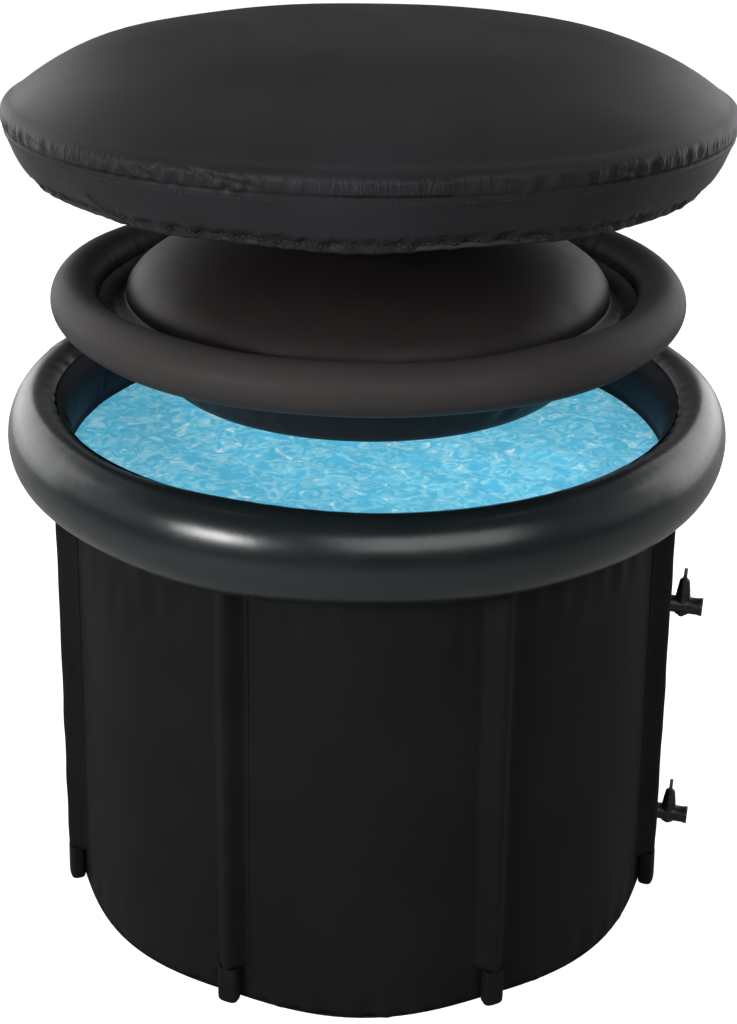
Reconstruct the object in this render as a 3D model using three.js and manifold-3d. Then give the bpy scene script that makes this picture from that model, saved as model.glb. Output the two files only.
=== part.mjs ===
// Portable cold plunge tub: a soft insulated barrel held up by eight poles, with an air-filled rim,
// two drain taps, a float-in inflatable lid and an elasticated weather cover.
// Millimetres, +Z up. The origin is on the floor, on the tub's axis, and the front faces -Y.
// The cover and the lid are drawn lifted off, each straight above its seat.
import * as THREE from "three";
import { mergeVertices } from "three/addons/utils/BufferGeometryUtils.js";
import Module from "manifold-3d";

const wasm = await Module();
wasm.setup();

// Driving dimensions
const GAP = 0.3; // clearance between pieces that touch
const TURN_STEPS = 40; // facets round the tub's axis

const WALL = { baseRadius: 430, topRadius: 402.86, bottom: 2.3, top: 604 };
const SHELL_THICKNESS = 1.5;
const FOAM_THICKNESS = 5;
const LINER_THICKNESS = 1.2;
const BASE_THICKNESS = 2;
const BASE_FOAM_THICKNESS = 8;

const RIM = { radius: 431, across: 39, up: 54, height: 654 }; // the tube is a standing oval
const OUTER_COLLAR = { lapBottom: 593.5, lapTop: 600, from: -128, to: -93 }; // degrees round the oval
const INNER_COLLAR = { lapBottom: 588, lapTop: 605, from: -141, to: -231 };
const COLLAR_FILM = 1;
const COLLAR_STEPS = 3; // facets of a collar along the oval

const POLE = { count: 8, firstAngle: 22.5, radius: 8, bore: 6, bottom: 9, top: 584, standOff: 10.6 };
const SLEEVE = { halfWidth: 24, flange: 7, cloth: 1, bottom: 57, top: 592 };
const BOOT = { width: 28, depth: 21, bottom: 1.4, top: 54, corner: 8, bevel: 2.5, floor: 7 };

const TAP = { angle: 75, heights: { lower: 83, upper: 424 } };
const TAP_FLOW_RADIUS = 4.5;
const TAP_PLUG = {
  offset: 30,
  radius: 6,
  seat: 6.3,
  top: 16.5,
  bottom: -12.3,
  tip: -16.5,
  tipRadius: 4.5,
};
const TAP_BARREL = {
  stub: 8,
  flange: 20,
  flangeAt: 4.5,
  flangeEnd: 8.5,
  radius: 11.5,
  inner: -22,
  outer: 57,
};
const TAP_HUB = { foot: 9, shoulder: 6.7, top: 41 };
const TAP_FIN = { length: 27, thickness: 4.6, top: 50, corner: 4 };

const LID_LIFT = 99; // how far the lid is drawn above its floating height
const LID_RING = { radius: 373, tube: 30, height: 728 + LID_LIFT };
const PILLOW = { radius: 310, crown: 88, drop: 110, footRadius: 256, film: 1.2 };

const COVER = { rim: 440, crown: 1151, shoulder: 1066, fullness: 4.4, seam: 1048, cloth: 1.2 };
const COVER_HEM = { radius: 409, height: 988, cord: 2.8 };

const STOPPER = { flange: 13, neck: 8, bore: 5, plug: 4.7, knob: 9.5 };
const RIM_STOPPER_ANGLE = -60; // degrees round the rim's oval, at the back
const LID_STOPPER_ANGLE = 45; // degrees up the pillow's dome, at the back

// Finishes
const finish = (color, roughness, metalness = 0) =>
  new THREE.MeshStandardMaterial({ color, roughness, metalness });
const MATERIALS = {
  shellCloth: finish(0x1c1c1d, 0.72),
  linerFilm: finish(0x23222b, 0.42),
  foam: finish(0xb9bcc0, 0.95),
  rimFilm: finish(0x232a2c, 0.3),
  pole: finish(0xd9d9d4, 0.5),
  boot: finish(0x161617, 0.6),
  tapPlastic: finish(0x141415, 0.45),
  gasket: finish(0x0f0f10, 0.85),
  lidFilm: finish(0x1f1d1e, 0.38),
  coverCloth: finish(0x2a2a2c, 0.6),
  elastic: finish(0x1a1a1c, 0.9),
  stopper: finish(0x202022, 0.4),
};

// Shaping helpers

/** Revolves [radius, height] points round +Z. A closed profile runs anticlockwise. */
function revolve(points, steps = TURN_STEPS) {
  const profile = points.map(([radius, height]) => new THREE.Vector2(radius, height));
  return new THREE.LatheGeometry(profile, steps).rotateX(Math.PI / 2);
}

/** Revolves a profile that closes on itself. */
const revolveLoop = (points, steps) => revolve([...points, points[0]], steps);

/** Points on an arc in the profile plane, angles in degrees from outward, anticlockwise. */
function arc([centreRadius, centreHeight], radius, from, to, steps) {
  return Array.from({ length: steps + 1 }, (_, i) => {
    const angle = THREE.MathUtils.degToRad(from + ((to - from) * i) / steps);
    return [centreRadius + radius * Math.cos(angle), centreHeight + radius * Math.sin(angle)];
  });
}

/** Points on an oval in the profile plane, grown outward. */
function ovalArc({ radius, height, across, up }, grow, from, to, steps) {
  const unit = arc([0, 0], 1, from, to, steps);
  return unit.map(([x, y]) => [radius + x * (across + grow), height + y * (up + grow)]);
}

/** A closed geometry as a solid that can be joined and cut. */
function solidFrom(geometry) {
  const bare = new THREE.BufferGeometry();
  const loose = geometry.index ? geometry.toNonIndexed() : geometry;
  bare.setAttribute("position", loose.getAttribute("position"));
  const merged = mergeVertices(bare, 1e-4);
  const corners = merged.index.array;
  const triVerts = [];
  for (let i = 0; i < corners.length; i += 3) {
    const [a, b, c] = corners.subarray(i, i + 3);
    if (a !== b && b !== c && c !== a) triVerts.push(a, b, c);
  }
  const mesh = { numProp: 3, vertProperties: merged.attributes.position.array };
  return new wasm.Manifold(new wasm.Mesh({ ...mesh, triVerts: new Uint32Array(triVerts) }));
}

/** A solid back as a geometry. */
function geometryFrom(solid) {
  const { vertProperties, triVerts } = solid.getMesh();
  const geometry = new THREE.BufferGeometry();
  geometry.setAttribute("position", new THREE.BufferAttribute(vertProperties, 3));
  geometry.setIndex(new THREE.BufferAttribute(triVerts, 1));
  geometry.computeVertexNormals();
  return geometry;
}

const join = (...pieces) => geometryFrom(pieces.map(solidFrom).reduce((a, b) => a.add(b)));
const cut = (piece, ...tools) =>
  geometryFrom(tools.map(solidFrom).reduce((a, b) => a.subtract(b), solidFrom(piece)));

/** A round bar along Y, from one end to the other. */
function barAlongY(radius, from, to, steps = 16) {
  return new THREE.CylinderGeometry(radius, radius, to - from, steps).translate(0, (from + to) / 2, 0);
}

/** A round bar along Z, standing at y. */
function barAlongZ(radius, from, to, y = 0, steps = 16) {
  return barAlongY(radius, from, to, steps).rotateX(Math.PI / 2).translate(0, y, 0);
}

/** A plate of a flat outline, standing up along Z between two heights. */
function plate(outline, from, to, curveSegments = 4) {
  const depth = to - from;
  const options = { depth, bevelEnabled: false, curveSegments };
  return new THREE.ExtrudeGeometry(outline, options).translate(0, 0, from);
}

/** A box outline with its corners rounded. */
function roundedBox(left, right, low, high, corner) {
  const outline = new THREE.Shape();
  outline.moveTo(left + corner, low);
  outline.lineTo(right - corner, low);
  outline.absarc(right - corner, low + corner, corner, -Math.PI / 2, 0);
  outline.lineTo(right, high - corner);
  outline.absarc(right - corner, high - corner, corner, 0, Math.PI / 2);
  outline.lineTo(left + corner, high);
  outline.absarc(left + corner, high - corner, corner, Math.PI / 2, Math.PI);
  outline.lineTo(left, low + corner);
  outline.absarc(left + corner, low + corner, corner, Math.PI, 1.5 * Math.PI);
  return outline;
}

function named(name, geometry, material) {
  const mesh = new THREE.Mesh(geometry, material);
  mesh.name = name;
  return mesh;
}

/** A group whose Y points outward from the tub's axis, at an angle from the front towards +X. */
function facing(angleDegrees) {
  const group = new THREE.Group();
  group.rotation.z = THREE.MathUtils.degToRad(angleDegrees) + Math.PI;
  return group;
}

// The barrel's wall: cloth shell, foam and liner, leaning out a little to the base

const wallRadius = (height) =>
  WALL.baseRadius - ((WALL.baseRadius - WALL.topRadius) * height) / WALL.top;
const wallLean = Math.atan((WALL.baseRadius - WALL.topRadius) / WALL.top);
const foamInset = SHELL_THICKNESS + GAP;
const linerInset = foamInset + FOAM_THICKNESS + GAP;
const linerFloor = BASE_THICKNESS + GAP + BASE_FOAM_THICKNESS + GAP;

/** The holes that the taps' threaded stubs pass through. */
function tapHoles() {
  return Object.values(TAP.heights).map((height) =>
    barAlongY(TAP_BARREL.stub + 2 * GAP, WALL.topRadius - 40, WALL.baseRadius + 20)
      .translate(0, 0, height)
      .rotateZ(THREE.MathUtils.degToRad(TAP.angle) + Math.PI),
  );
}

/** One sleeve-shaped layer of the wall, set in from the shell's outer face. */
function wallLayer(inset, thickness, bottom) {
  return revolveLoop([
    [wallRadius(bottom) - inset - thickness, bottom],
    [wallRadius(bottom) - inset, bottom],
    [wallRadius(WALL.top) - inset, WALL.top],
    [wallRadius(WALL.top) - inset - thickness, WALL.top],
  ]);
}

/** The liner is one bag: floor and wall together. */
function linerBag() {
  const floorTop = linerFloor + LINER_THICKNESS;
  return revolve([
    [0, linerFloor],
    [wallRadius(linerFloor) - linerInset, linerFloor],
    [wallRadius(WALL.top) - linerInset, WALL.top],
    [wallRadius(WALL.top) - linerInset - LINER_THICKNESS, WALL.top],
    [wallRadius(floorTop) - linerInset - LINER_THICKNESS, floorTop],
    [0, floorTop],
  ]);
}

function disc(radius, bottom, thickness) {
  return revolve([[0, bottom], [radius, bottom], [radius, bottom + thickness], [0, bottom + thickness]]);
}

/** A welded strip that laps one face of the wall and follows the rim's oval round. */
function rimCollar({ lapBottom, lapTop, from, to }, inset, side) {
  const face = (height, grow) => [wallRadius(height) - inset + side * (GAP + grow), height];
  const nearGrow = (1 - Math.cos(THREE.MathUtils.degToRad((to - from) / (2 * COLLAR_STEPS)))) * RIM.up + 2 * GAP;
  const strip = [
    face(lapBottom, 0),
    face(lapTop, 0),
    ...ovalArc(RIM, nearGrow, from, to, COLLAR_STEPS),
    ...ovalArc(RIM, nearGrow + COLLAR_FILM, to, from, COLLAR_STEPS),
    face(lapTop - side * COLLAR_FILM, COLLAR_FILM),
    face(lapBottom, COLLAR_FILM),
  ];
  return revolveLoop(side > 0 ? strip.reverse() : strip);
}

function barrel() {
  const group = new THREE.Group();
  const foamBase = BASE_THICKNESS + GAP;
  const foamRadius = wallRadius(linerFloor) - linerInset;
  const drilled = (layer) => cut(layer, ...tapHoles());
  const shell = wallLayer(0, SHELL_THICKNESS, WALL.bottom);
  const foam = wallLayer(foamInset, FOAM_THICKNESS, WALL.bottom);
  const innerStrip = rimCollar(INNER_COLLAR, linerInset + LINER_THICKNESS, -1);
  group.add(
    named("outer_shell", drilled(shell), MATERIALS.shellCloth),
    named("wall_foam", drilled(foam), MATERIALS.foam),
    named("inner_liner", drilled(linerBag()), MATERIALS.linerFilm),
    named("base_panel", disc(WALL.baseRadius, 0, BASE_THICKNESS), MATERIALS.shellCloth),
    named("base_foam", disc(foamRadius, foamBase, BASE_FOAM_THICKNESS), MATERIALS.foam),
    named("outer_collar", rimCollar(OUTER_COLLAR, 0, 1), MATERIALS.shellCloth),
    named("inner_collar", innerStrip, MATERIALS.linerFilm),
  );
  return group;
}

// Poles in sewn sleeves, each standing in a rubber boot

/** One side of the sleeve's arch, seen along the pole, grown outward by the cloth's thickness. */
function sleeveLine(grow) {
  const wallSag = SLEEVE.halfWidth ** 2 / (2 * WALL.topRadius);
  const base = GAP + grow;
  const archRadius = POLE.radius + 2 * GAP + grow;
  const line = new THREE.Path();
  line.moveTo(-SLEEVE.halfWidth, base - wallSag);
  line.lineTo(-SLEEVE.halfWidth + SLEEVE.flange, base);
  line.quadraticCurveTo(-archRadius, base, -archRadius, POLE.standOff - 1);
  line.absarc(0, POLE.standOff, archRadius, Math.PI, 0, true);
  line.lineTo(archRadius, POLE.standOff - 1);
  line.quadraticCurveTo(archRadius, base, SLEEVE.halfWidth - SLEEVE.flange, base);
  line.lineTo(SLEEVE.halfWidth, base - wallSag);
  return line.getPoints(3);
}

function sleeve() {
  const outline = new THREE.Shape([...sleeveLine(0), ...sleeveLine(SLEEVE.cloth).reverse()]);
  return plate(outline, SLEEVE.bottom, SLEEVE.top);
}

function pole() {
  const { bore, radius, bottom, top } = POLE;
  const wall = [[bore, bottom], [radius, bottom], [radius, top], [bore, top]];
  return revolveLoop(wall, 12).translate(0, POLE.standOff, 0);
}

/** A rounded cup that the pole stands in. */
function boot() {
  const inset = BOOT.bevel;
  const outline = roundedBox(
    -BOOT.width / 2 + inset,
    BOOT.width / 2 - inset,
    2 * GAP + inset,
    2 * GAP + BOOT.depth - inset,
    BOOT.corner - inset,
  );
  const cup = new THREE.ExtrudeGeometry(outline, {
    depth: BOOT.top - BOOT.bottom - 2 * BOOT.bevel,
    bevelThickness: BOOT.bevel,
    bevelSize: BOOT.bevel,
    bevelSegments: 1,
    curveSegments: 2,
  }).translate(0, 0, BOOT.bottom + BOOT.bevel);
  const socket = barAlongZ(POLE.radius + GAP, BOOT.floor, BOOT.top + 5, POLE.standOff, 12);
  return cut(cup, socket);
}

function poles() {
  const group = new THREE.Group();
  for (let i = 0; i < POLE.count; i++) {
    const stave = new THREE.Group();
    stave.position.y = WALL.baseRadius;
    stave.rotation.x = wallLean;
    stave.add(
      named(`pole_${i + 1}`, pole(), MATERIALS.pole),
      named(`pole_sleeve_${i + 1}`, sleeve(), MATERIALS.shellCloth),
      named(`foot_boot_${i + 1}`, boot(), MATERIALS.boot),
    );
    group.add(facing(POLE.firstAngle + (360 / POLE.count) * i).add(stave));
  }
  return group;
}

// Drain taps: a plug cock in a barrel that is clamped through the wall

function tapBarrel() {
  const { stub, flange, flangeAt, flangeEnd, radius, inner, outer } = TAP_BARREL;
  const body = join(
    barAlongY(stub, inner, flangeEnd),
    barAlongY(flange, flangeAt, flangeEnd, 24),
    barAlongY(radius, flangeEnd - 1, outer - 5),
    barAlongY(radius + 0.8, outer - 5, outer),
    barAlongZ(TAP_HUB.foot + 0.8, -radius, TAP_PLUG.top, TAP_PLUG.offset),
  );
  const flow = barAlongY(TAP_FLOW_RADIUS, inner - 5, outer + 5, 12);
  const seat = barAlongZ(TAP_PLUG.seat, TAP_PLUG.tip - 5, TAP_PLUG.top + 5, TAP_PLUG.offset);
  return cut(body, flow, seat);
}

/** The turning plug, drawn shut: its port lies across the flow. */
function tapPlug() {
  const { radius, top, bottom, tip, tipRadius } = TAP_PLUG;
  const body = join(barAlongZ(radius, bottom, top), barAlongZ(tipRadius, tip, bottom + 1, 0, 12));
  const port = barAlongY(TAP_FLOW_RADIUS, -2 * radius, 2 * radius, 12).rotateZ(Math.PI / 2);
  return cut(body, port);
}

/** A tapered hub with a thumb fin that points across the flow when the tap is shut. */
function tapHandle() {
  const { foot, shoulder, top } = TAP_HUB;
  const start = TAP_PLUG.top + GAP;
  const hub = revolve(
    [[0, start], [foot, start], [foot, start + 4], [shoulder, top - 4], [3, top], [0, top]],
    16,
  );
  const half = TAP_FIN.length / 2;
  const outline = roundedBox(-half, half, top - 9, TAP_FIN.top, TAP_FIN.corner);
  const fin = plate(outline, -TAP_FIN.thickness / 2, TAP_FIN.thickness / 2).rotateX(Math.PI / 2);
  return join(hub, fin);
}

function washer(outer, bore, from, to) {
  const ring = [[bore, from], [outer, from], [outer, to], [bore, to]];
  return revolveLoop(ring, 16).rotateX(-Math.PI / 2);
}

function lockNut(from, to) {
  const hexagon = barAlongY(16, from, to, 6);
  return cut(hexagon, barAlongY(TAP_BARREL.stub + GAP, from - 1, to + 1));
}

function tap(label, height) {
  const group = facing(TAP.angle);
  const body = new THREE.Group();
  body.position.set(0, wallRadius(height), height);
  const bore = TAP_BARREL.stub + GAP;
  const linerFace = -linerInset - LINER_THICKNESS - 3;
  const turning = new THREE.Group();
  turning.position.y = TAP_PLUG.offset;
  turning.add(
    named(`${label}_tap_plug`, tapPlug(), MATERIALS.tapPlastic),
    named(`${label}_tap_handle`, tapHandle(), MATERIALS.tapPlastic),
  );
  body.add(
    named(`${label}_tap_barrel`, tapBarrel(), MATERIALS.tapPlastic),
    named(`${label}_tap_gasket`, washer(19, bore, 1.7, TAP_BARREL.flangeAt - GAP), MATERIALS.gasket),
    named(`${label}_tap_washer`, washer(16, bore, linerFace - 2, linerFace), MATERIALS.gasket),
    named(`${label}_tap_lock_nut`, lockNut(linerFace - 9, linerFace - 2 - GAP), MATERIALS.tapPlastic),
    turning,
  );
  return group.add(body);
}

// Air stoppers: a flanged neck on the chamber and a push-in plug, drawn along +Z from the surface

/** A group at the back, seated on an oval's outline with +Z along the outline's normal. */
function seatOnOval({ radius, height, across, up }, angleDegrees, clearance) {
  const angle = THREE.MathUtils.degToRad(angleDegrees);
  const tilt = Math.atan2(Math.sin(angle) / up, Math.cos(angle) / across);
  const seat = new THREE.Group();
  seat.position.set(
    0,
    radius + across * Math.cos(angle) + clearance * Math.cos(tilt),
    height + up * Math.sin(angle) + clearance * Math.sin(tilt),
  );
  seat.rotation.x = tilt - Math.PI / 2;
  seat.updateMatrix();
  return seat;
}

function stopperNeck(sunk) {
  const { flange, neck, bore } = STOPPER;
  return revolveLoop(
    [[bore, -sunk], [flange, -sunk], [flange, 2], [neck, 3], [neck, 6], [bore, 6]],
    12,
  );
}

function stopperPlug() {
  const { plug, knob } = STOPPER;
  const seat = 6 + GAP;
  return revolve(
    [[0, 1], [plug - 0.6, 1], [plug, 2], [plug, seat], [knob, seat], [knob, 8], [knob - 1, 9], [0, 9]],
    12,
  );
}

// The inflated rim, with its stopper at the back

function rim() {
  const group = new THREE.Group();
  const tube = (grow) => revolve(ovalArc(RIM, grow, 0, 360, 12));
  const seat = seatOnOval(RIM, RIM_STOPPER_ANGLE, GAP);
  const tubeFromSeat = tube(GAP).applyMatrix4(seat.matrix.clone().invert());
  seat.add(
    named("rim_stopper_neck", cut(stopperNeck(4), tubeFromSeat), MATERIALS.stopper),
    named("rim_stopper", stopperPlug(), MATERIALS.stopper),
  );
  group.add(named("air_rim", tube(0), MATERIALS.rimFilm), seat);
  return group;
}

// The lid: an inflated ring welded by a web to a hollow pillow, which opens at its stopper

/** The pillow's outline from the middle of its underside to its crown, shrunk by an inset. */
function pillowProfile(inset) {
  const { radius, crown, drop, footRadius } = PILLOW;
  const foot = -drop + inset;
  const dome = { radius: 0, height: 0, across: radius, up: crown };
  return [
    [0, foot],
    ...arc([footRadius - inset, foot + 14], 14, -90, -15, 2),
    ...ovalArc(dome, -inset, 0, 90, 5),
  ];
}

function lid() {
  const group = new THREE.Group();
  group.position.z = LID_RING.height;
  const { radius, tube } = LID_RING;
  const dome = { radius: 0, height: 0, across: PILLOW.radius, up: PILLOW.crown };
  const seat = seatOnOval(dome, LID_STOPPER_ANGLE, 2 * GAP);
  const airHole = barAlongZ(STOPPER.neck, -8, 8).applyMatrix4(seat.matrix);
  const chamber = revolve(pillowProfile(PILLOW.film));
  const web = [
    [PILLOW.radius + GAP, -1],
    [radius - tube - GAP, -1],
    [radius - tube - GAP, 1],
    [PILLOW.radius + GAP, 1],
  ];
  seat.add(
    named("lid_stopper_neck", stopperNeck(0), MATERIALS.stopper),
    named("lid_stopper", stopperPlug(), MATERIALS.stopper),
  );
  group.add(
    named("lid_ring", new THREE.TorusGeometry(radius, tube, 12, TURN_STEPS), MATERIALS.lidFilm),
    named("lid_pillow", cut(revolve(pillowProfile(0)), chamber, airHole), MATERIALS.lidFilm),
    named("lid_web", revolveLoop(web), MATERIALS.lidFilm),
    seat,
  );
  return group;
}

// The weather cover: a crowned top, a skirt sewn under its shoulder and a hem drawn in by elastic

/** The top's line from its crown to the seam, set in by the cloth's thickness. */
function coverTopLine(inset) {
  const { rim, crown, shoulder, fullness, seam } = COVER;
  const bow = (share) => [
    share * (rim - inset),
    shoulder + (crown - shoulder) * (1 - share ** fullness) - inset * (1 - share),
  ];
  return [...[0, 0.45, 0.7, 0.85, 0.94, 1].map(bow), [rim - inset, seam]];
}

function cover() {
  const group = new THREE.Group();
  const { rim, seam, cloth } = COVER;
  const top = revolve([...coverTopLine(cloth), ...coverTopLine(0).reverse()]);
  const hemTop = COVER_HEM.height + COVER_HEM.cord + GAP;
  const skirtLine = (inset) => [
    [COVER_HEM.radius + cloth / 2 - inset, hemTop],
    [(COVER_HEM.radius + rim) / 2 + 4 - inset, (seam + hemTop) / 2],
    [rim - inset, seam - GAP],
  ];
  const skirt = revolveLoop([...skirtLine(0), ...skirtLine(cloth).reverse()]);
  const hem = new THREE.TorusGeometry(COVER_HEM.radius, COVER_HEM.cord, 4, TURN_STEPS);
  hem.translate(0, 0, COVER_HEM.height);
  group.add(
    named("cover_top", top, MATERIALS.coverCloth),
    named("cover_skirt", skirt, MATERIALS.coverCloth),
    named("cover_hem_elastic", hem, MATERIALS.elastic),
  );
  return group;
}

const plungeTub = new THREE.Group();
plungeTub.add(barrel(), poles(), rim(), lid(), cover());
for (const [label, height] of Object.entries(TAP.heights)) plungeTub.add(tap(label, height));

export default plungeTub;
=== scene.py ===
"""Cold plunge tub: cloth barrel on poles, inflated rim, water, floating lid and weather cover."""

import logging
import math
from dataclasses import dataclass
from enum import Enum
from functools import cache
from typing import Iterable, Sequence

import bmesh
import bpy
import numpy as np
from mathutils import Matrix, Vector


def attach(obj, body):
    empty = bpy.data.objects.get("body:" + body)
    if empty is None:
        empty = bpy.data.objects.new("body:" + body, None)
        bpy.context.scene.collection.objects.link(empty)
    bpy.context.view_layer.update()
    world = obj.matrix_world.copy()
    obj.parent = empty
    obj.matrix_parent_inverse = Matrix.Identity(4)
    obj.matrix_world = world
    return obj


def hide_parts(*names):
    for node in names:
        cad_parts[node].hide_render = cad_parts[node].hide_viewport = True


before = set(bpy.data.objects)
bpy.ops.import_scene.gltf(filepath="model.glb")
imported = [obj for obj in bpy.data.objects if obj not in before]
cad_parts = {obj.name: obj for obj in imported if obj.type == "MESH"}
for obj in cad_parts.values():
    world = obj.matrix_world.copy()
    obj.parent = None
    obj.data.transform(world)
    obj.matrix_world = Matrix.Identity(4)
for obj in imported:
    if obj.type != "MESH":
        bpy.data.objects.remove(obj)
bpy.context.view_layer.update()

LOG = logging.getLogger("plunge_tub")
TURN = 2.0 * math.pi
MM = 0.001
UV_NAME = "cloth"

Pair = tuple[float, float]
Triple = tuple[float, float, float]
Piece = bpy.types.Object
Tree = bpy.types.NodeTree
Socket = bpy.types.NodeSocket


class Body(Enum):
    """The bodies that pieces ride on."""

    TUB = "tub"
    LID = "lid"
    COVER = "cover"
    RIM_STOPPER = "rim_stopper"
    LID_STOPPER = "lid_stopper"
    UPPER_COCK = "upper_tap_cock"
    LOWER_COCK = "lower_tap_cock"


# Sizes, in metres and degrees. Angles round the tub start at the front and turn towards +X.


@dataclass(frozen=True)
class WallSizes:
    """The cloth wall, which leans out to its base and bellies between the poles.

    Each fade is a pair of places, where puckers begin and where they are full.
    """

    base_radius: float = 0.430
    top_radius: float = 0.40286
    bottom: float = 0.0023
    top: float = 0.604
    belly: float = 0.009
    belly_top: float = 0.57
    cloth: float = 0.0012
    slack_fade: Pair = (0.05, 0.15)
    foot_fade: Pair = (0.09, 0.0)
    head_fade: Pair = (0.45, 0.57)
    head_end: Pair = (0.59, 0.575)
    wave_fade: Pair = (0.59, 0.5)
    base_cloth: float = 0.002
    base_lap: float = 0.42
    liner_inset: float = 0.0083
    liner_floor: float = 0.0118
    liner_film: float = 0.0008
    liner_top_fade: Pair = (0.604, 0.574)
    liner_foot_fade: Pair = (0.012, 0.05)

    def radius(self, height: float) -> float:
        """Outer radius of the wall at a height.

        Args:
            height: Height above the ground.

        Returns:
            The radius at the pole lines, where the cloth has no belly.
        """
        return self.base_radius - (self.base_radius - self.top_radius) * height / self.top

    @property
    def lean(self) -> float:
        """Angle that the wall leans from upright."""
        return math.atan((self.base_radius - self.top_radius) / self.top)


@dataclass(frozen=True)
class PoleSizes:
    """Eight poles in sewn sleeves, each in a rubber boot."""

    count: int = 8
    first_angle: float = 22.5
    radius: float = 0.008
    stand_off: float = 0.0106
    sleeve_half: float = 0.024
    sleeve_flange: float = 0.003
    sleeve_lift: float = 0.0003
    sleeve_ease: float = 0.0022
    sleeve_cloth: float = 0.0008
    stitch_rise: float = 0.0002
    sleeve_bottom: float = 0.0541
    sleeve_top: float = 0.5915
    boot_width: float = 0.028
    boot_depth: float = 0.021
    boot_bottom: float = 0.0014
    boot_waist: float = 0.030
    boot_top: float = 0.054
    boot_gap: float = 0.0006
    boot_grip: float = 0.0003
    boot_lip: float = 0.0005

    def angles(self) -> list[float]:
        """Angles of the poles round the tub, in radians."""
        return [math.radians(self.first_angle + 360.0 * i / self.count) for i in range(self.count)]


@dataclass(frozen=True)
class RimSizes:
    """The inflated rim, a standing oval in section, with a crosswise weld."""

    radius: float = 0.431
    height: float = 0.654
    across: float = 0.039
    up: float = 0.054
    weld_angle: float = -104.0
    weld_half: float = 0.009
    weld_edge: float = 0.002
    weld_rise: float = 0.0006


@dataclass(frozen=True)
class CollarSizes:
    """The strips that hold the rim; welds are angles round its section, laps are heights on the wall."""

    gap: float = 0.0012
    outer_weld: Pair = (-127.0, -93.0)
    outer_lap: Pair = (0.5935, 0.5995)
    outer_off: float = 0.0013
    outer_film: float = 0.0009
    inner_weld: Pair = (129.0, 218.0)
    inner_lap: Pair = (0.6045, 0.588)
    inner_off: float = 0.0014
    inner_film: float = 0.0006
    pleat_top: float = 0.012
    pleat_foot: float = 0.05


@dataclass(frozen=True)
class LidSizes:
    """The floating lid: an inflated ring round an inflated pillow, joined by a web."""

    height: float = 0.827
    ring_radius: float = 0.373
    ring_tube: float = 0.030
    pillow_radius: float = 0.310
    pillow_crown: float = 0.088
    pillow_drop: float = 0.110
    pillow_foot: float = 0.256
    foot_round: float = 0.014
    web_lap: float = 0.0015
    web_sag: float = 0.012
    web_film: float = 0.0008


@dataclass(frozen=True)
class CoverSizes:
    """The weather cover: crowned top, gathered shoulder, skirt and elastic hem."""

    rim: float = 0.440
    crown: float = 1.151
    shoulder: float = 1.066
    fullness: float = 4.4
    seam: float = 1.048
    hem_radius: float = 0.409
    hem_height: float = 0.988
    hem_draw: float = 0.0034
    hem_rise: float = 0.0020
    skirt_belly: float = 0.005
    band_swell: float = 0.0012
    seam_depth: float = 0.0012
    seam_half: float = 0.0018
    cord: float = 0.0028
    casing: float = 0.0042
    cloth: float = 0.0008
    stitch_rise: float = 0.0003


WALL = WallSizes()
POLES = PoleSizes()
RIM = RimSizes()
COLLAR = CollarSizes()
LID = LidSizes()
COVER = CoverSizes()


# Shader helpers


def linear(hex_colour: str) -> tuple[float, float, float, float]:
    """Turn an sRGB hex colour into linear RGBA.

    Args:
        hex_colour: Colour such as "#1c1c1e".

    Returns:
        Linear red, green, blue and an alpha of 1.
    """
    shares = [int(hex_colour[i : i + 2], 16) / 255.0 for i in (1, 3, 5)]
    red, green, blue = (s / 12.92 if s <= 0.04045 else ((s + 0.055) / 1.055) ** 2.4 for s in shares)
    return red, green, blue, 1.0


def add_node(tree: Tree, kind: str, inputs: dict | None = None, **settings: object) -> bpy.types.Node:
    """Add a node, set its properties, and set or link its inputs.

    Args:
        tree: Node tree to add to.
        kind: Node type name.
        inputs: Values or output sockets, keyed by input name or number.
        settings: Properties of the node.

    Returns:
        The new node.
    """
    node = tree.nodes.new(kind)
    for name, value in settings.items():
        setattr(node, name, value)
    for key, value in (inputs or {}).items():
        if isinstance(value, Socket):
            tree.links.new(value, node.inputs[key])
        else:
            node.inputs[key].default_value = value
    return node


def piece_place(tree: Tree) -> Socket:
    """Coordinates in the piece's own frame."""
    return add_node(tree, "ShaderNodeTexCoord").outputs["Object"]


def noise(
    tree: Tree, place: Socket, scale: float, detail: float, roughness: float = 0.5, distortion: float = 0.0
) -> Socket:
    """Soft noise over a place.

    Args:
        tree: Material's node tree.
        place: Coordinate socket.
        scale: Cells for each metre.
        detail: Octaves of finer noise.
        roughness: Share that each octave keeps.
        distortion: How far the noise warps itself.

    Returns:
        The noise's value socket.
    """
    inputs = {"Vector": place, "Scale": scale, "Detail": detail}
    inputs |= {"Roughness": roughness, "Distortion": distortion}
    return add_node(tree, "ShaderNodeTexNoise", inputs).outputs["Fac"]


def ramped(tree: Tree, value: Socket, *stops: tuple[float, str]) -> Socket:
    """Colour of a value on a ramp of two or more stops, each a place and a hex colour."""
    ramp = add_node(tree, "ShaderNodeValToRGB", {"Fac": value})
    elements = ramp.color_ramp.elements
    for number, (place, colour) in enumerate(stops):
        element = elements[number] if number < 2 else elements.new(place)
        element.position = place
        element.color = linear(colour)
    return ramp.outputs["Color"]


def mottled(tree: Tree, place: Socket, colour: str, pale: str, patch: float) -> Socket:
    """Mix two close hex colours by soft noise patches of a size in metres."""
    return ramped(tree, noise(tree, place, 1.0 / patch, 4.0), (0.35, colour), (0.75, pale))


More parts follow.
